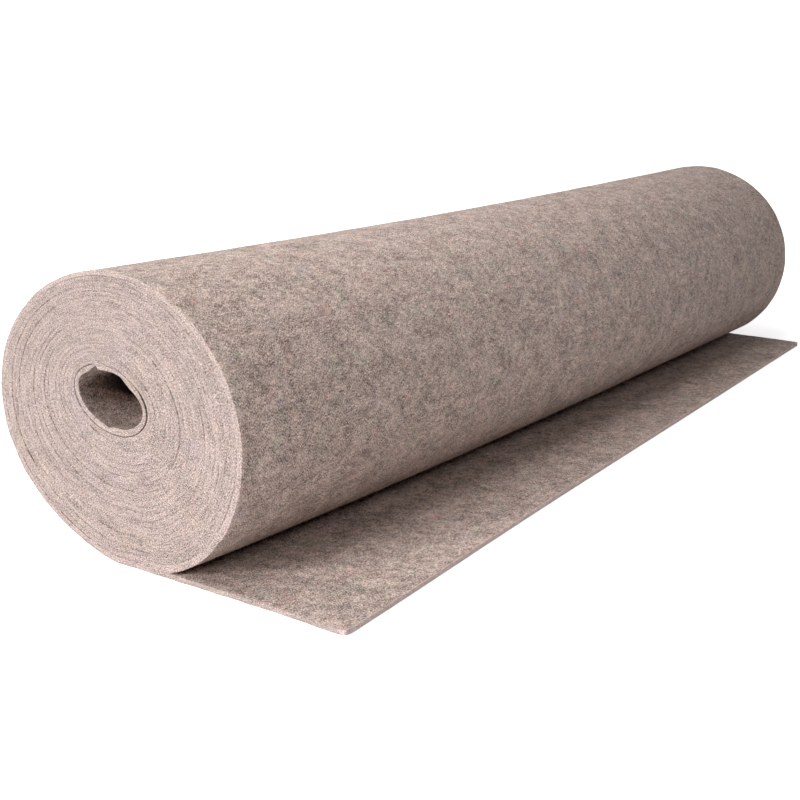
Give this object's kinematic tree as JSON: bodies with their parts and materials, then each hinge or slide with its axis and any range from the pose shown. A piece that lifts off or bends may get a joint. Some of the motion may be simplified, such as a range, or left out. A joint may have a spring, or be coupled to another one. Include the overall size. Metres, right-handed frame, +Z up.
{
  "type": "roll of protective fleece",
  "caption": "Roll of thick needle-felt protective fleece, wound without a core, with its free end laid out flat in front.",
  "frame": {"origin": "on the floor, under the middle of the footprint of the roll and its free end", "axes": "+X along the width of the cloth, which is the roll's axis, +Y to the back of the roll, away from the free end, and +Z up"},
  "size_m": [1, 0.3222, 0.2116],
  "materials": {
    "felt": "mottled beige-grey needle felt with fine coloured fibres, matt and slightly hairy"
  },
  "bodies": {
    "root": {"fleece_roll": "felt"}
  },
  "joints": []
}
